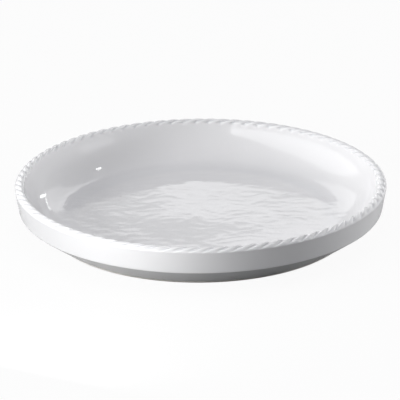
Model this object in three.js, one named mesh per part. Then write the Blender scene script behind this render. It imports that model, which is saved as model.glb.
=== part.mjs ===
// A round porcelain baking dish with a rope-twist border on its rim and a bare foot ring.
// Millimetres, +Z up. The origin is the centre of the circle that the dish stands on.

import * as THREE from "three";

// The glazed outside: a leaning band with a wide round lip above it and a sloping underside below it.
const RIM_RADIUS = 150;
const RIM_WIDTH = 7;
const RIM_TOP = 36.5;
const LIP_ROUND = 5;
const BAND_LEAN = 11;
const BAND_LOW = 18.3;
const BAND_EDGE_ROUND = 2.5;
const UNDERSIDE_SLOPE = 36.2;

// The glazed well: a flat floor, a wide cove and a short steep wall up to the rim.
const WELL_LEAN = 8;
const FLOOR_TOP = 8.5;
const COVE_RADIUS = 31;

// The foot ring, whose flat lower face is left bare so that it does not stick to the kiln shelf.
const FOOT_HEIGHT = 2.5;
const FOOT_FACE_WIDTH = 4.5;
const FOOT_RUN_IN = 3.5;
const FOOT_INSIDE_LEAN = 25;

// The rope border: rounded strands laid aslant over the top of the rim, from the lip to the well.
const ROPE_HEIGHT = 2.8;
const ROPE_INNER_ROUND = 2;
const ROPE_STRANDS = 84;
const ROPE_LAY = 1.2;
const ROPE_GROOVE = 1.2;

// The fired glaze, and the hair gap between pieces that the kiln fuses together.
const GLAZE = 0.4;
const FUSE_GAP = 0.05;

// Facets
const ROUND_FACETS = 72;
const COVE_FACETS = 7;
const EDGE_FACETS = 3;
const STRAND_FACETS = 4;
const ROPE_OUTER_FACETS = 5;
const ROPE_INNER_FACETS = 2;

const wellRadius = RIM_RADIUS - RIM_WIDTH;
const crest = RIM_TOP + ROPE_HEIGHT;
const ropeSeat = RIM_TOP - GLAZE;

const point = (radius, height) => new THREE.Vector2(radius, height);
const radians = THREE.MathUtils.degToRad;

// The crossing of two straight profile lines, each given by a point and a direction.
function crossing(start, along, otherStart, otherAlong) {
  const between = otherStart.clone().sub(start);
  const reach = between.cross(otherAlong) / along.cross(otherAlong);
  return start.clone().addScaledVector(along, reach);
}

// The arc of a given radius that rounds off a profile corner between its two neighbours.
function rounded(before, corner, after, radius, facets) {
  const back = before.clone().sub(corner).normalize();
  const ahead = after.clone().sub(corner).normalize();
  const halfAngle = back.angleTo(ahead) / 2;
  const inward = back.clone().add(ahead).normalize();
  const centre = corner.clone().addScaledVector(inward, radius / Math.sin(halfAngle));
  const tangent = radius / Math.tan(halfAngle);
  const from = corner.clone().addScaledVector(back, tangent).sub(centre).angle();
  const to = corner.clone().addScaledVector(ahead, tangent).sub(centre).angle();
  const clockwise = back.cross(ahead) > 0;
  return new THREE.EllipseCurve(centre.x, centre.y, radius, radius, from, to, clockwise).getPoints(facets);
}

// The rim's wide outer round between two angles, at a depth below the surface of the glaze.
function lipRound(depth, from, to, facets) {
  const across = RIM_WIDTH - ROPE_INNER_ROUND - depth;
  const middle = wellRadius + ROPE_INNER_ROUND;
  const curve = new THREE.EllipseCurve(middle, crest - LIP_ROUND, across, LIP_ROUND - depth, from, to, from > to);
  return curve.getPoints(facets);
}

// The angle at which the outer round passes a height.
function lipAngle(depth, height) {
  return Math.asin((height - crest + LIP_ROUND) / (LIP_ROUND - depth));
}

// The rope's tight inner round, from the top of the rim to the wall of the well.
function innerRound(facets) {
  const middle = point(wellRadius + ROPE_INNER_ROUND, crest - ROPE_INNER_ROUND);
  const to = Math.PI - radians(WELL_LEAN);
  const curve = new THREE.EllipseCurve(middle.x, middle.y, ROPE_INNER_ROUND, ROPE_INNER_ROUND, Math.PI / 2, to);
  return curve.getPoints(facets);
}

// The well's profile from the axis up the wall to a height, at a depth below the surface of the glaze.
function wellLine(depth, height) {
  const lean = radians(WELL_LEAN);
  const wallTop = innerRound(1).pop().add(point(depth / Math.cos(lean), 0));
  const floorCentre = point(0, FLOOR_TOP - depth);
  const down = point(-Math.sin(lean), -Math.cos(lean));
  const corner = crossing(floorCentre, point(1, 0), wallTop, down);
  const end = crossing(point(0, height), point(1, 0), wallTop, down);
  return [floorCentre, ...rounded(floorCentre, corner, end, COVE_RADIUS + depth, COVE_FACETS), end];
}

// The outside's profile from a height on the lip, down the band and along the underside to the foot.
function outsideLine(depth, height) {
  const lean = radians(BAND_LEAN);
  const slope = radians(UNDERSIDE_SLOPE);
  const lip = lipRound(depth, lipAngle(depth, height), -lean, EDGE_FACETS);
  const bandTop = lip[EDGE_FACETS];
  const bandDown = point(-Math.sin(lean), -Math.cos(lean));
  const glazedBandTop = lipRound(0, 0, -lean, 1).pop();
  const glazedEdge = crossing(glazedBandTop, bandDown, point(0, BAND_LOW), point(1, 0));
  const undersideIn = point(-Math.cos(slope), -Math.sin(slope));
  const undersideStart = glazedEdge.clone().add(point(-depth * Math.sin(slope), depth * Math.cos(slope)));
  const edge = crossing(bandTop, bandDown, undersideStart, undersideIn);
  const footTop = crossing(undersideStart, undersideIn, point(0, FOOT_HEIGHT), point(1, 0));
  const edgeRound = BAND_EDGE_ROUND - depth;
  return [...lip, ...rounded(bandTop, edge, footTop, edgeRound, EDGE_FACETS), footTop];
}

// A named mesh of a profile turned about +Z, closed on the axis or on itself and facing out.
function turned(name, outline, material) {
  const profile = THREE.ShapeUtils.isClockWise(outline) ? [...outline].reverse() : [...outline];
  const startsOnAxis = profile[0].x === 0;
  if (!startsOnAxis) profile.push(profile[0].clone());
  const mesh = new THREE.Mesh(new THREE.LatheGeometry(profile, ROUND_FACETS), material);
  mesh.geometry.rotateX(Math.PI / 2);
  mesh.name = name;
  return mesh;
}

// A coat between two lines of the same run, the first on its surface and the second beneath it.
function coat(name, surfaceLine, underLine, material) {
  return turned(name, [...surfaceLine, ...[...underLine].reverse()], material);
}

// The cast porcelain under the glaze: floor, cove, wall, rim and underside in one piece.
function porcelainBody() {
  const inside = wellLine(GLAZE + FUSE_GAP, ropeSeat - FUSE_GAP);
  const outside = outsideLine(GLAZE + FUSE_GAP, ropeSeat - FUSE_GAP);
  const baseCentre = point(0, FOOT_HEIGHT + FUSE_GAP);
  outside[outside.length - 1].y = baseCentre.y;
  const biscuit = new THREE.MeshStandardMaterial({ color: 0xf2efe8, roughness: 0.75, metalness: 0 });
  return turned("porcelain_body", [...inside, ...outside, baseCentre], biscuit);
}

function glazeMaterial() {
  return new THREE.MeshStandardMaterial({ color: 0xf3f4f5, roughness: 0.12, metalness: 0 });
}

function insideGlaze() {
  return coat("inside_glaze", wellLine(0, ropeSeat), wellLine(GLAZE, ropeSeat), glazeMaterial());
}

function outsideGlaze() {
  return coat("outside_glaze", outsideLine(0, ropeSeat), outsideLine(GLAZE, ropeSeat), glazeMaterial());
}

// The foot ring's section. Its outer side runs on from the underside, down to a flat bare face.
function footSection() {
  const outerTop = outsideLine(0, ropeSeat).pop();
  const bareOuter = point(outerTop.x - FOOT_RUN_IN, 0);
  const bareInner = point(bareOuter.x - FOOT_FACE_WIDTH, 0);
  const innerTop = point(bareInner.x - FOOT_HEIGHT * Math.tan(radians(FOOT_INSIDE_LEAN)), FOOT_HEIGHT);
  return [innerTop, bareInner, bareOuter, outerTop];
}

function footRing() {
  const bare = new THREE.MeshStandardMaterial({ color: 0xe9e4d8, roughness: 0.85, metalness: 0 });
  return turned("foot_ring", footSection(), bare);
}

// The glaze on the underside of the floor, inside the foot ring.
function baseGlaze() {
  const radius = footSection()[0].x - FUSE_GAP;
  const outline = [
    point(0, FOOT_HEIGHT - GLAZE),
    point(radius, FOOT_HEIGHT - GLAZE),
    point(radius, FOOT_HEIGHT),
    point(0, FOOT_HEIGHT),
  ];
  return turned("base_glaze", outline, glazeMaterial());
}

// The rope border. Each column of the turned ring follows one line of a strand, so grooves and
// crests run as edges. A strand's line swings round by the lay on its way in from the lip.
function ropeBorder() {
  const strands = Math.round(ROPE_STRANDS);
  const columns = strands * STRAND_FACETS;
  const outer = lipRound(0, lipAngle(0, ropeSeat), Math.PI / 2, ROPE_OUTER_FACETS);
  const inner = innerRound(ROPE_INNER_FACETS).slice(1);
  const outline = [...outer, ...inner, wellLine(0, ropeSeat).pop()];
  const lengths = [0, ...new THREE.Path(outline).getCurveLengths()];
  const inward = lengths.map((length) => length / lengths[lengths.length - 1]);
  const outward = outline.map((place, row) => {
    const along = outline[Math.min(row + 1, outline.length - 1)].clone().sub(outline[Math.max(row - 1, 0)]);
    return point(along.y, -along.x).normalize();
  });
  const geometry = new THREE.LatheGeometry([...outline, outline[0]], columns);
  const places = geometry.getAttribute("position");
  for (let column = 0; column <= columns; column++) {
    const acrossStrand = ((column % STRAND_FACETS) / STRAND_FACETS) * 2 - 1;
    const hollow = ROPE_GROOVE * (1 - Math.sqrt(1 - acrossStrand ** 2));
    for (let index = 0; index <= outline.length; index++) {
      const row = index % outline.length;
      const sunk = hollow * Math.sqrt(Math.abs(Math.sin(Math.PI * inward[row])));
      const place = outline[row].clone().addScaledVector(outward[row], -sunk);
      const turn = ((column / STRAND_FACETS + ROPE_LAY * inward[row]) / strands) * 2 * Math.PI;
      const vertex = column * (outline.length + 1) + index;
      places.setXYZ(vertex, place.x * Math.sin(turn), place.y, place.x * Math.cos(turn));
    }
  }
  geometry.rotateX(Math.PI / 2);
  const mesh = new THREE.Mesh(geometry, glazeMaterial());
  mesh.name = "rope_border";
  return mesh;
}

const dish = new THREE.Group();
dish.add(porcelainBody(), footRing(), ropeBorder(), insideGlaze(), outsideGlaze(), baseGlaze());

export default dish;
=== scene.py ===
import math

import bpy
import numpy as np
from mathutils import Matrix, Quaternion, Vector, noise


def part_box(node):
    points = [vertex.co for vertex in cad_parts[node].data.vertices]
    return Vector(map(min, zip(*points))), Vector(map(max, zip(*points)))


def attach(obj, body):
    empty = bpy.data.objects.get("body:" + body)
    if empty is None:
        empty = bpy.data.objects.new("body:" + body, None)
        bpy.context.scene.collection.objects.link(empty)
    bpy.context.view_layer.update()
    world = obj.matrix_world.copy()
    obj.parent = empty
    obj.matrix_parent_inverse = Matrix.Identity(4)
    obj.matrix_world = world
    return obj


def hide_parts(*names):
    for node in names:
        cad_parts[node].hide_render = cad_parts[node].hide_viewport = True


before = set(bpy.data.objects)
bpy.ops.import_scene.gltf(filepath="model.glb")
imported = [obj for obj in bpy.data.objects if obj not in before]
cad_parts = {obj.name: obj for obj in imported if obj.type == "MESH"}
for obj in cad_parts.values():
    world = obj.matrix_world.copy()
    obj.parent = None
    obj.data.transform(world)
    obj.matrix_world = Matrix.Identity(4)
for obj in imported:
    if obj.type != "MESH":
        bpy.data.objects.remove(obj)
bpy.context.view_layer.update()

# The dish itself: white porcelain, cast and fired in one piece, then dipped in clear glaze and fired again.
# The glaze runs unbroken from the well over the rope border and the lip down to the foot, so one closed
# surface stands for the porcelain body, the border and the coats inside and outside.
MM = 0.001
RIM_WIDTH = 7 * MM
RIM_OUTER = 4.5 * MM
RIM_DROP = 3.4 * MM
BAND_LEAN = math.radians(9.7)
BAND_LOW = 18.3 * MM
BAND_EDGE_ROUND = 1.8 * MM
WELL_LEAN = math.radians(8)
COVE_RADIUS = 31 * MM
COVE_EASE = 4 * MM
CLOSING_LIFT = 0.05 * MM
CLOSING_INSET = 1 * MM

outside_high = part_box("outside_glaze")[1]
coat_low, coat_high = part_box("base_glaze")
foot_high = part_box("foot_ring")[1]
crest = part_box("rope_border")[1].z
rim_radius = outside_high.x
foot_top = foot_high.z
foot_radius = foot_high.x
floor_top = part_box("inside_glaze")[0].z + coat_high.z - coat_low.z
well_radius = rim_radius - RIM_WIDTH
inner_round = RIM_WIDTH - RIM_OUTER
rim_middle = rim_radius - RIM_OUTER

# The rope border: rounded strands of the same porcelain, moulded aslant over the rim and glazed with the
# rest. Each strand takes the same number of mesh columns from groove to groove.
ROPE_STRANDS = 84
ROPE_LAY = 1.4
ROPE_GROOVE = 1.25 * MM
ROPE_UNEVEN = 0.1
ROPE_SEED = 11
STRAND_COLUMNS = 16
FINE = ROPE_STRANDS * STRAND_COLUMNS
MEDIUM = FINE // 2


class Row:
    """One ring of the mesh: its place in the section, its columns, and the relief that it takes."""

    def __init__(self, radius, height, columns=MEDIUM, groove=0.0, lay=0.0, ripple=0.0, pool=0.0, floor=0.0):
        self.radius = radius
        self.height = height
        self.columns = columns
        self.groove = groove
        self.lay = lay
        self.ripple = ripple
        self.pool = pool
        self.floor = floor


def smooth(low, high, value):
    """Goes from 0 at low to 1 at high with a soft start and end."""
    share = min(max((value - low) / (high - low), 0.0), 1.0)
    return share * share * (3 - 2 * share)


def arc(centre, across, up, start, end, steps):
    """The points of a round or oval stretch of the section, without its first point."""
    turns = [start + (end - start) * step / steps for step in range(1, steps + 1)]
    return [(centre[0] + across * math.cos(turn), centre[1] + up * math.sin(turn)) for turn in turns]


def straight(start, end, steps):
    """The points of a straight stretch of the section, without its first point."""
    shares = [step / steps for step in range(1, steps + 1)]
    return [(start[0] + (end[0] - start[0]) * s, start[1] + (end[1] - start[1]) * s) for s in shares]


# The well: a broad floor, which eases into a wide cove and a short steep wall. The floor lies a little lower
# than its drawn height, as clay shrinks and settles in the firing.
FLOOR_SETTLED = 0.4 * MM
FLOOR_POOL = 0.28
EASE_REACH = 3.5
RIPPLE_FADE = 22 * MM
WALL_NOTCH = 2.6 * MM
WALL_RIPPLE = 0.7
COVE_STEPS = 46
COVE_CROWDING = 1.3
WALL_STEPS = 7
rope_seat = crest - inner_round
wall_height = rope_seat + inner_round * math.sin(WELL_LEAN)
cove_top = floor_top + COVE_RADIUS * (1 - math.sin(WELL_LEAN))
wall_foot = well_radius - (wall_height - cove_top) * math.tan(WELL_LEAN)
floor_edge = wall_foot - COVE_RADIUS * math.cos(WELL_LEAN)
flat_radius = floor_edge - EASE_REACH * COVE_EASE
floor_low = floor_top - FLOOR_SETTLED

rows = []
floor_zones = ((0.15, MEDIUM // 8, 8), (0.3, MEDIUM // 4, 10), (0.6, MEDIUM // 2, 20), (1.0, MEDIUM, 26))
for reach, columns, steps in floor_zones:
    begin = rows[-1].radius if rows else 0.0
    for radius, height in straight((begin, floor_low), (flat_radius * reach, floor_low), steps):
        rows.append(Row(radius, height, columns, lay=1.0, floor=1.0))
cove_rise = (cove_top - floor_low) / (1 - math.sin(WELL_LEAN))
first_tilt = math.asin(COVE_EASE * math.log1p(math.exp(-EASE_REACH)) / COVE_RADIUS)
for step in range(1, COVE_STEPS + 1):
    tilt = first_tilt + (math.pi / 2 - WELL_LEAN - first_tilt) * (step / COVE_STEPS) ** COVE_CROWDING
    across = COVE_RADIUS * math.sin(tilt)
    radius = floor_edge + COVE_EASE * math.log(math.expm1(across / COVE_EASE))
    height = floor_low + cove_rise * (1 - math.cos(tilt))
    deep = 1 - smooth(flat_radius, floor_edge + RIPPLE_FADE, radius)
    rows.append(Row(radius, height, MEDIUM, lay=1.0, ripple=1 - deep, pool=deep * FLOOR_POOL, floor=deep))
wall_start = (rows[-1].radius, rows[-1].height)
rope_inner = (rim_middle - inner_round * math.cos(WELL_LEAN), wall_height)
for radius, height in straight(wall_start, rope_inner, WALL_STEPS):
    groove = smooth(wall_height - WALL_NOTCH, wall_height, height) ** 2
    rows.append(Row(radius, height, FINE, groove, lay=1.0, ripple=WALL_RIPPLE))

# Over the rim: a tight round on the inside and an oval one on the outside, with the strands from the well
# to the top of the band. The strands' lines swing round by the lay on their way in from the band.
ROPE_OUTER = math.radians(-4)
GROOVE_FADE = 0.4
ROPE_INNER_STEPS = 12
ROPE_OUTER_STEPS = 28
inner_turn = (math.pi - WELL_LEAN, math.pi / 2)
inner_run = arc((rim_middle, rope_seat), inner_round, inner_round, *inner_turn, ROPE_INNER_STEPS)
rim_round = ((rim_middle, crest - RIM_DROP), RIM_OUTER, RIM_DROP)
rope_run = inner_run + arc(*rim_round, math.pi / 2, ROPE_OUTER, ROPE_OUTER_STEPS)
lengths = [math.dist(one, two) for one, two in zip([rope_inner] + rope_run, rope_run)]
for index, (radius, height) in enumerate(rope_run):
    inward = 1 - sum(lengths[:index + 1]) / sum(lengths)
    rows.append(Row(radius, height, FINE, smooth(0.0, GROOVE_FADE, inward), lay=inward))

# The leaning band, its crisp lower edge and the sloping underside: the outside of the same casting, down to
# the foot. The last two rings close the surface just above the foot ring and the coat under the floor.
BAND_RIPPLE = 1.0
EDGE_RIPPLE = 0.6
UNDERSIDE_RIPPLE = 0.8
LIP_STEPS = 3
BAND_STEPS = 14
EDGE_STEPS = 8
UNDERSIDE_STEPS = 12
for radius, height in arc(*rim_round, ROPE_OUTER, -BAND_LEAN, LIP_STEPS):
    rows.append(Row(radius, height))
band_start = (rows[-1].radius, rows[-1].height)
edge = (band_start[0] - (band_start[1] - BAND_LOW) * math.tan(BAND_LEAN), BAND_LOW)
slope = math.atan2(edge[1] - foot_top, edge[0] - foot_radius)
half_corner = (math.pi - (math.pi / 2 - BAND_LEAN - slope)) / 2
setback = BAND_EDGE_ROUND / math.tan(half_corner)
band_end = (edge[0] + setback * math.sin(BAND_LEAN), edge[1] + setback * math.cos(BAND_LEAN))
edge_in = (BAND_EDGE_ROUND * math.cos(BAND_LEAN), -BAND_EDGE_ROUND * math.sin(BAND_LEAN))
edge_centre = (band_end[0] - edge_in[0], band_end[1] - edge_in[1])
edge_turn = (-BAND_LEAN, slope - math.pi / 2)
for radius, height in straight(band_start, band_end, BAND_STEPS):
    rows.append(Row(radius, height, ripple=BAND_RIPPLE))
for radius, height in arc(edge_centre, BAND_EDGE_ROUND, BAND_EDGE_ROUND, *edge_turn, EDGE_STEPS):
    rows.append(Row(radius, height, ripple=EDGE_RIPPLE))
underside_start = (rows[-1].radius, rows[-1].height)
for radius, height in straight(underside_start, (foot_radius, foot_top), UNDERSIDE_STEPS):
    rows.append(Row(radius, height, ripple=UNDERSIDE_RIPPLE))
rows.append(Row(foot_radius - CLOSING_INSET, foot_top + CLOSING_LIFT, MEDIUM))
rows.append(Row(foot_radius / 2, foot_top + CLOSING_LIFT, MEDIUM // 2))

# Each ring is turned about the axis, with the strands' grooves and the glaze's ripples pressed into it.
# On the floor the ripples are short shallow runs that wander; the floor has a slight twist from the firing,
# one broad swell towards the back and a broad hollow in the middle.
RUN_LENGTH = 11.5 * MM
RUN_WIDTH = 5.5 * MM
RUN_HEIGHT = 0.055 * MM
WANDER = 7 * MM
WANDER_REACH = 22 * MM
WANDER_SEED = 5
PATCH_REACH = 30 * MM
PATCH_HEIGHT = 0.12 * MM
RIPPLE_ROUND = 2.4
RIPPLE_ACROSS = 8 * MM
RIPPLE_HEIGHT = 0.035 * MM
FINER = 2.1
FINER_SHARE = 0.45
FINER_SHIFT = Vector((5.2, 1.3, 8.1))
# How closely the painted shade in the grooves keeps to each groove.
GROOVE_POOLING_AND_SHADE = 6
FLOOR_TWIST = 0.1
FLOOR_SWELLS = (
    (Vector((-0.003, 0.094)), 23 * MM, 0.8 * MM),
    (Vector((-0.005, -0.005)), 32 * MM, -0.8 * MM),
)
noise.seed_set(WANDER_SEED)
strand_depth = 1 + ROPE_UNEVEN * np.random.default_rng(ROPE_SEED).uniform(-1, 1, ROPE_STRANDS + 1)


def two_scales(place):
    """Smooth noise with a smaller one on it."""
    return noise.noise(place) + FINER_SHARE * noise.noise(place * FINER + FINER_SHIFT)


def runs_at(x, y):
    """The height of the glaze's patches and runs on the floor."""
    place = Vector((x, y, 0.0))
    patches = PATCH_HEIGHT * noise.noise(place / PATCH_REACH)
    place += WANDER * noise.noise_vector(place / WANDER_REACH)
    return patches + RUN_HEIGHT * two_scales(Vector((place.x / RUN_LENGTH, place.y / RUN_WIDTH, 0.0)))


def form_at(x, y):
    """How far the fired floor stands above an even one."""
    swells = [height * math.exp(-((Vector((x, y)) - centre).length / reach) ** 2 / 2)
              for centre, reach, height in FLOOR_SWELLS]
    return FLOOR_TWIST * x * y + sum(swells)


def ripple_at(turn, height):
    """The height of the glaze's ripples on the walls, long round the dish and short up and down."""
    round_it = Vector((math.cos(turn), math.sin(turn))) * RIPPLE_ROUND
    return RIPPLE_HEIGHT * two_scales(Vector((*round_it, height / RIPPLE_ACROSS)))


def ring_points(row, out):
    """The points of one ring; out is the section's outward direction there."""
    column = np.arange(row.columns) * (FINE / row.columns)
    turn = (column / STRAND_COLUMNS + ROPE_LAY * row.lay) / ROPE_STRANDS * 2 * math.pi
    across = np.mod(column, STRAND_COLUMNS) / STRAND_COLUMNS * 2 - 1
    strand = np.floor(column / STRAND_COLUMNS).astype(int)
    depth = np.where(across < 0, strand_depth[strand], strand_depth[(strand + 1) % ROPE_STRANDS])
    sunk = ROPE_GROOVE * row.groove * depth * (0.5 - 0.5 * np.cos(math.pi * across)) ** 2
    radius = row.radius - sunk * out[0]
    height = row.height - sunk * out[1]
    if row.ripple:
        waves = row.ripple * np.array([ripple_at(angle, row.height) for angle in turn])
        radius = radius + waves * out[0]
        height = height + waves * out[1]
    if row.floor:
        places = row.radius * np.stack([np.cos(turn), np.sin(turn)], axis=1)
        height = height + row.floor * np.array([runs_at(x, y) + form_at(x, y) for x, y in places])
    points = np.stack([radius * np.cos(turn), radius * np.sin(turn), height], axis=1)
    # Deeper glaze on the floor, and painted shade that darkens the glaze towards each groove.
    pooled_and_groove_shade = row.pool + row.groove * across**GROOVE_POOLING_AND_SHADE
    return points, pooled_and_groove_shade


def ring_faces(first, first_count, second, second_count):
    """The faces between two rings that start at these indices and may halve or double their columns."""
    faces = []
    if first_count == second_count:
        for k in range(first_count):
            after = (k + 1) % first_count
            faces.append((first + k, second + k, second + after, first + after))
    elif first_count < second_count:
        for k in range(first_count):
            after = (k + 1) % first_count
            middle = second + 2 * k + 1
            far = second + (2 * k + 2) % second_count
            faces.append((first + k, second + 2 * k, middle))
            faces.append((first + k, middle, first + after))
            faces.append((first + after, middle, far))
    else:
        for k in range(second_count):
            after = (k + 1) % second_count
            middle = first + 2 * k + 1
            far = first + (2 * k + 2) % first_count
            faces.append((second + k, middle, first + 2 * k))
            faces.append((second + k, second + after, middle))
            faces.append((second + after, far, middle))
    return faces


def turned_mesh(name, section, closes_on_axis):
    """A closed smooth piece, a section turned about the axis, with the glaze's depth and the grooves'
    painted shade kept on its points.
    """
    points, depths_and_groove_shade, faces, starts = [], [], [], []
    last = len(section) - 1
    for index, row in enumerate(section):
        before = row if closes_on_axis and index == 0 else section[index - 1]
        after = row if closes_on_axis and index == last else section[(index + 1) % len(section)]
        along = Vector((after.radius - before.radius, after.height - before.height)).normalized()
        ring, pooled_and_groove_shade = ring_points(row, (-along.y, along.x))
        starts.append(len(points))
        points.extend(ring.tolist())
        depths_and_groove_shade.extend(pooled_and_groove_shade.tolist())
    pairs = [(index, index + 1) for index in range(last)]
    if not closes_on_axis:
        pairs.append((last, 0))
    for one, two in pairs:
        faces += ring_faces(starts[one], section[one].columns, starts[two], section[two].columns)
    if closes_on_axis:
        for row, start, flip in ((section[0], starts[0], False), (section[-1], starts[-1], True)):
            centre = len(points)
            heights = [point[2] for point in points[start:start + row.columns]]
            points.append((0.0, 0.0, sum(heights) / row.columns))
            depths_and_groove_shade.append(row.pool)
            for k in range(row.columns):
                edge_pair = (start + k, start + (k + 1) % row.columns)
                faces.append((centre, *(reversed(edge_pair) if flip else edge_pair)))
    mesh = bpy.data.meshes.new(name)
    mesh.from_pydata(points, [], faces)
    # The glaze's depth on the floor, and the painted shade in the grooves.
    mesh.attributes.new("glaze_depth_and_groove_shade", "FLOAT", "POINT").data.foreach_set("value", depths_and_groove_shade)
    mesh.polygons.foreach_set("use_smooth", [True] * len(faces))
    mesh.update()
    piece = bpy.data.objects.new(name, mesh)
    bpy.context.scene.collection.objects.link(piece)
    return piece


glazed_dish = turned_mesh("glazed_dish", rows, closes_on_axis=True)


class Wire:
    """A socket of a node tree. Arithmetic on it adds Math nodes, and node() adds any other node."""

    def __init__(self, tree, socket=None):
        self.tree = tree
        self.socket = socket

    def node(self, kind, settings=None, sockets=None, output=0):
        made = self.tree.nodes.new(kind)
        for name, value in (settings or {}).items():
            setattr(made, name, value)
        for name, value in (sockets or {}).items():
            self.feed(made.inputs[name], value)
        return Wire(self.tree, made.outputs[output])

    def feed(self, socket, value):
        if isinstance(value, Wire):
            self.tree.links.new(value.socket, socket)
        else:
            socket.default_value = value

    def math(self, operation, first, second):
        return self.node("ShaderNodeMath", {"operation": operation}, {0: first, 1: second})

    def __add__(self, other):
        return self.math("ADD", self, other)

    __radd__ = __add__

    def __sub__(self, other):
        return self.math("SUBTRACT", self, other)

    def __rsub__(self, other):
        return self.math("SUBTRACT", other, self)

    def __mul__(self, other):
        return self.math("MULTIPLY", self, other)

    __rmul__ = __mul__

    def at_least(self, other):
        return self.math("MAXIMUM", self, other)


def new_material(name):
    """A material with its shader, and a wire to start its nodes from."""
    material = bpy.data.materials.new(name)
    material.use_nodes = True
    return material, material.node_tree.nodes["Principled BSDF"], Wire(material.node_tree)


def tinted(share, first, second):
    """A colour that goes from the first to the second as the share goes from 0 to 1."""
    return share.node("ShaderNodeMix", {"data_type": "RGBA"}, {0: share, 6: first, 7: second}, output=2)


# The glaze: clear and glossy over white porcelain, melted on in the second firing. It is a little greyer and
# bluer where it lies deep on the floor, with a faint orange peel and broad clouds of thickness. In the
# strands' grooves it is painted much greyer and bluer, as shade.
GLAZE_CLEAR = (0.848, 0.847, 0.85, 1)
GLAZE_CLOUD = (0.812, 0.811, 0.818, 1)
# The colour of the deeper glaze on the floor, and of the painted shade in the grooves.
GLAZE_DEEP_AND_SHADE = (0.72, 0.735, 0.76, 1)
DEEP_AND_SHADE_SHARE = 0.8
GLAZE_ROUGHNESS = 0.025
CLOUD_ROUGHNESS = 0.03
GLAZE_IOR = 1.52
glaze, glaze_shader, start = new_material("white_glaze")
place = start.node("ShaderNodeTexCoord", output="Object")
depth = start.node("ShaderNodeAttribute", {"attribute_name": "glaze_depth_and_groove_shade"}, output="Fac")
clouds = start.node("ShaderNodeTexNoise", sockets={"Vector": place, "Scale": 22, "Detail": 3})
peel = start.node("ShaderNodeTexNoise", sockets={"Vector": place, "Scale": 420, "Detail": 2})
coated = tinted(clouds, GLAZE_CLEAR, GLAZE_CLOUD)
# Greyer and bluer where the glaze lies deep on the floor, and painted shade in the strands' grooves.
start.feed(glaze_shader.inputs["Base Color"], tinted(depth * DEEP_AND_SHADE_SHARE, coated, GLAZE_DEEP_AND_SHADE))
start.feed(glaze_shader.inputs["Roughness"], GLAZE_ROUGHNESS + CLOUD_ROUGHNESS * clouds)
peeled = start.node("ShaderNodeBump", sockets={"Strength": 0.06, "Distance": 0.0003, "Height": peel})
start.feed(glaze_shader.inputs["Normal"], peeled)
glaze_shader.inputs["IOR"].default_value = GLAZE_IOR
glazed_dish.data.materials.append(glaze)
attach(glazed_dish, "root")
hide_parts("porcelain_body", "rope_border", "inside_glaze", "outside_glaze")

# The foot ring: the ring of porcelain under the dish that it stands on. Its lower face is wiped free of
# glaze before the firing, so that it does not stick to the kiln shelf, and is left matt.
FOOT_FACE = 4.5 * MM
FOOT_RUN_IN = 3.5 * MM
FOOT_INSIDE = 1.17 * MM
FOOT_EDGE_ROUND = 0.7 * MM
FOOT_EDGE_RISE = 0.28 * MM
FOOT_INNER_ROUND = 0.3 * MM
FOOT_INNER_RISE = 0.2 * MM
FOOT_SIDE_STEPS = 4
FOOT_FACE_STEPS = 6
bare_outer = foot_radius - FOOT_RUN_IN
bare_inner = bare_outer - FOOT_FACE
outer_edge = (bare_outer + FOOT_EDGE_ROUND, FOOT_EDGE_RISE)
inner_edge = (bare_inner - FOOT_INNER_ROUND, FOOT_INNER_RISE)
foot_run = [(foot_radius, foot_top)]
foot_run += straight((foot_radius, foot_top), outer_edge, FOOT_SIDE_STEPS)
foot_run += straight((bare_outer, 0.0), (bare_inner, 0.0), FOOT_FACE_STEPS)
foot_run += straight(inner_edge, (bare_inner - FOOT_INSIDE, foot_top), FOOT_SIDE_STEPS)
foot_rows = [Row(radius, height) for radius, height in foot_run]
foot_ring = turned_mesh("bare_foot_ring", foot_rows, closes_on_axis=False)

BISCUIT_LIGHT = (0.80, 0.775, 0.72, 1)
BISCUIT_GREY = (0.62, 0.60, 0.56, 1)
RUBBED_SHARE = 0.6
BISCUIT_ROUGHNESS = 0.7
GRAIN_ROUGHNESS = 0.2
biscuit, biscuit_shader, start = new_material("bare_biscuit")
place = start.node("ShaderNodeTexCoord", output="Object")
grain = start.node("ShaderNodeTexNoise", sockets={"Vector": place, "Scale": 1500, "Detail": 4})
rubs = start.node("ShaderNodeTexNoise", sockets={"Vector": place, "Scale": 90, "Detail": 5})
start.feed(biscuit_shader.inputs["Base Color"], tinted(rubs * RUBBED_SHARE, BISCUIT_LIGHT, BISCUIT_GREY))
start.feed(biscuit_shader.inputs["Roughness"], BISCUIT_ROUGHNESS + GRAIN_ROUGHNESS * grain)
rough = start.node("ShaderNodeBump", sockets={"Strength": 0.25, "Distance": 0.0002, "Height": grain})
start.feed(biscuit_shader.inputs["Normal"], rough)
foot_ring.data.materials.append(biscuit)
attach(foot_ring, "root")
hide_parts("foot_ring")

# The glaze under the floor: the coat inside the foot ring, of the same clear glaze, dipped with the rest.
# It ends in a soft edge against the ring.
BASE_EDGE_ROUND = 0.3 * MM
base_radius = coat_high.x
base_rows = [
    Row(base_radius / 2, coat_high.z, MEDIUM // 2),
    Row(base_radius, coat_high.z),
    Row(base_radius, coat_low.z + BASE_EDGE_ROUND),
    Row(base_radius - 0.4 * BASE_EDGE_ROUND, coat_low.z + 0.4 * BASE_EDGE_ROUND),
    Row(base_radius - 1.6 * BASE_EDGE_ROUND, coat_low.z),
    Row(base_radius / 2, coat_low.z, MEDIUM // 2),
]
base_coat = turned_mesh("base_coat", base_rows, closes_on_axis=True)
base_coat.data.materials.append(glaze)
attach(base_coat, "root")
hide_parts("base_glaze")

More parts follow.
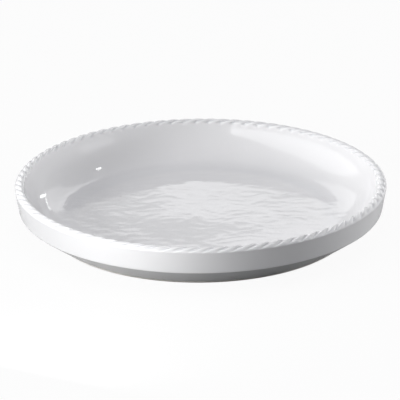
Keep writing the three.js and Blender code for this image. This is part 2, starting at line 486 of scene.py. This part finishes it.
# The studio floor: a plain pale sheet that the dish stands on. The camera sees it white with a faint shadow,
# the glaze mirrors it white as it is lit, and it throws little light back up.
FLOOR_REACH = 6.0
FLOOR_WHITE = (0.8, 0.8, 0.8, 1)
FLOOR_BOUNCE = (0.04, 0.043, 0.046, 1)
SHADOW_SEEN = 0.06
SHADOW_IN_GLOSS = 1.0
floor_mesh = bpy.data.meshes.new("studio_floor")
corners = [(-1, -1), (1, -1), (1, 1), (-1, 1)]
floor_mesh.from_pydata([(x * FLOOR_REACH, y * FLOOR_REACH, 0.0) for x, y in corners], [], [(0, 1, 2, 3)])
floor = bpy.data.objects.new("studio_floor", floor_mesh)
bpy.context.scene.collection.objects.link(floor)
sheet, sheet_shader, start = new_material("pale_sheet")
sheet_shader.inputs["Base Color"].default_value = FLOOR_BOUNCE
sheet_shader.inputs["Roughness"].default_value = 0.9


def seen_directly(start):
    """1 for rays that show the background itself, to the camera or in gloss or glass."""
    ray_kinds = ("Is Camera Ray", "Is Glossy Ray", "Is Transmission Ray")
    camera, glossy, clear = (start.node("ShaderNodeLightPath", output=kind) for kind in ray_kinds)
    return camera.at_least(glossy).at_least(clear)


to_camera = start.node("ShaderNodeLightPath", output="Is Camera Ray")
shadow_share = SHADOW_IN_GLOSS + (SHADOW_SEEN - SHADOW_IN_GLOSS) * to_camera
lit_white = start.node("ShaderNodeBsdfDiffuse", sockets={"Color": FLOOR_WHITE})
plain_white = start.node("ShaderNodeEmission", sockets={"Color": (1, 1, 1, 1), "Strength": 1.0})
white = start.node("ShaderNodeMixShader", sockets={0: shadow_share, 1: plain_white, 2: lit_white})
bounce = Wire(start.tree, sheet_shader.outputs[0])
shown = start.node("ShaderNodeMixShader", sockets={0: seen_directly(start), 1: bounce, 2: white})
start.feed(sheet.node_tree.nodes["Material Output"].inputs["Surface"], shown)
floor_mesh.materials.append(sheet)

# The studio's air: plain white behind the object, and a dim soft light on it, a little cool, that grows from
# the horizon up.
AMBIENT_LOW = 0.11
AMBIENT_HIGH = 0.64
AMBIENT_TINT = (0.96, 0.96, 1.0, 1)
world = bpy.data.worlds.new("studio")
bpy.context.scene.world = world
world.use_nodes = True
start = Wire(world.node_tree)
air = world.node_tree.nodes["Background"]
direction = start.node("ShaderNodeTexCoord", output="Generated")
upward = start.node("ShaderNodeSeparateXYZ", sockets={"Vector": direction}, output="Z")
ambient = AMBIENT_LOW + (AMBIENT_HIGH - AMBIENT_LOW) * upward.at_least(0.0)
seen = seen_directly(start)
start.feed(air.inputs["Strength"], seen + (1 - seen) * ambient)
start.feed(air.inputs["Color"], tinted(seen, AMBIENT_TINT, (1, 1, 1, 1)))


def soft_lamp(name, place, target, width, height, radiance):
    """A rectangular soft lamp at a place, turned to a target, of an even brightness over its face."""
    lamp = bpy.data.lights.new(name, "AREA")
    lamp.shape = "RECTANGLE"
    lamp.size = width
    lamp.size_y = height
    lamp.energy = radiance * math.pi * width * height
    holder = bpy.data.objects.new(name, lamp)
    holder.location = place
    holder.rotation_mode = "QUATERNION"
    holder.rotation_quaternion = (Vector(target) - Vector(place)).to_track_quat("-Z", "Y")
    holder.visible_camera = False
    bpy.context.scene.collection.objects.link(holder)
    return holder


# The lamps: on the left a key light and a lower card, close in front a small card, on the right a low fill,
# and a light overhead, which the glaze does not mirror. Then those that it only mirrors: a strip high
# behind in the floor, a card on the right and three small lamps in the left wall, and a long tall screen
# in the right wall, which dims towards the back.
DISH = (0.0, 0.0, 0.03)
lit_only = [
    soft_lamp("left_key", (-1.2, -0.5, 0.46), DISH, 0.8, 0.3, 11.7),
    soft_lamp("mid_card", (-1.3, 0.0, 0.18), DISH, 0.8, 0.26, 8.0),
    soft_lamp("near_card", (-0.115, -0.27, 0.06), (-0.05, -0.14, 0.02), 0.12, 0.1, 4.25),
    soft_lamp("right_fill", (1.2, 0.3, 0.1), DISH, 0.6, 0.2, 22.0),
    soft_lamp("overhead", (0.0, -0.55, 2.0), DISH, 1.2, 1.2, 0.6),
]
for lamp in lit_only:
    lamp.visible_glossy = False
mirrored_only = [
    soft_lamp("back_strip", (0.25, 3.0, 1.802), (0.25, 0.0, 1.802), 3.7, 1.2, 0.9),
    soft_lamp("right_card", (1.5, -0.37, 0.38), DISH, 0.8, 0.62, 1.6),
    soft_lamp("hook_lamp", (0.88, 1.73, 0.62), DISH, 0.13, 0.26, 5.0),
    soft_lamp("hook_line", (0.56, 1.90, 0.76), DISH, 0.55, 0.035, 3.0),
    soft_lamp("small_lamp", (0.604, 0.667, 1.215), DISH, 0.14, 0.04, 14.0),
]
SCREEN_PANELS = 8
SCREEN_PANEL_WIDTH = 0.45
SCREEN_HEIGHT = 1.16
SCREEN_START = -2.42
SCREEN_SIDE = -1.0
SCREEN_MIDDLE = 0.62
SCREEN_GLOW = 3.8
SCREEN_DIMMING = 0.85
for panel in range(SCREEN_PANELS):
    along = SCREEN_START + panel * SCREEN_PANEL_WIDTH
    place = (SCREEN_SIDE, along, SCREEN_MIDDLE)
    facing = (0.0, along, SCREEN_MIDDLE)
    glow = SCREEN_GLOW * SCREEN_DIMMING**panel
    screen = soft_lamp(f"screen_{panel}", place, facing, SCREEN_PANEL_WIDTH, SCREEN_HEIGHT, glow)
    mirrored_only.append(screen)
for lamp in mirrored_only:
    lamp.visible_diffuse = False

# The camera: a long lens in front of the dish, about 21 degrees above it, rolled by about half a degree.
# It is framed so that a circle on the rim has a set place and half width in the picture, in pixels.
IMAGE_SIDE = 400
SENSOR = 36.0
RIM_PIXELS = 181.7
RIM_CIRCLE = 0.1469
CAMERA_DISTANCE = 14 * RIM_CIRCLE
CAMERA_RISE = math.radians(20.75)
CAMERA_ROLL = math.radians(-0.44)
RIM_CENTRE_X = 200.68
RIM_CENTRE_Y = 178.76
rim_centre = Vector((0, 0, crest))
metres_per_pixel = RIM_CIRCLE / RIM_PIXELS
camera_up = Vector((0, math.sin(CAMERA_RISE), math.cos(CAMERA_RISE)))
aim_right = (IMAGE_SIDE / 2 - RIM_CENTRE_X) * metres_per_pixel
aim_down = (IMAGE_SIDE / 2 - RIM_CENTRE_Y) * metres_per_pixel
aim = rim_centre + Vector((aim_right, 0, 0)) - camera_up * aim_down
lens = bpy.data.cameras.new("camera")
lens.sensor_width = SENSOR
lens.lens = SENSOR * RIM_PIXELS * CAMERA_DISTANCE / RIM_CIRCLE / IMAGE_SIDE
camera = bpy.data.objects.new("camera", lens)
back_way = Vector((0, -math.cos(CAMERA_RISE), math.sin(CAMERA_RISE)))
camera.location = rim_centre + back_way * CAMERA_DISTANCE
camera.rotation_mode = "QUATERNION"
upright = (aim - camera.location).to_track_quat("-Z", "Y")
camera.rotation_quaternion = upright @ Quaternion((0, 0, 1), CAMERA_ROLL)
bpy.context.scene.collection.objects.link(camera)
bpy.context.scene.camera = camera
bpy.context.scene.view_settings.view_transform = "Standard"
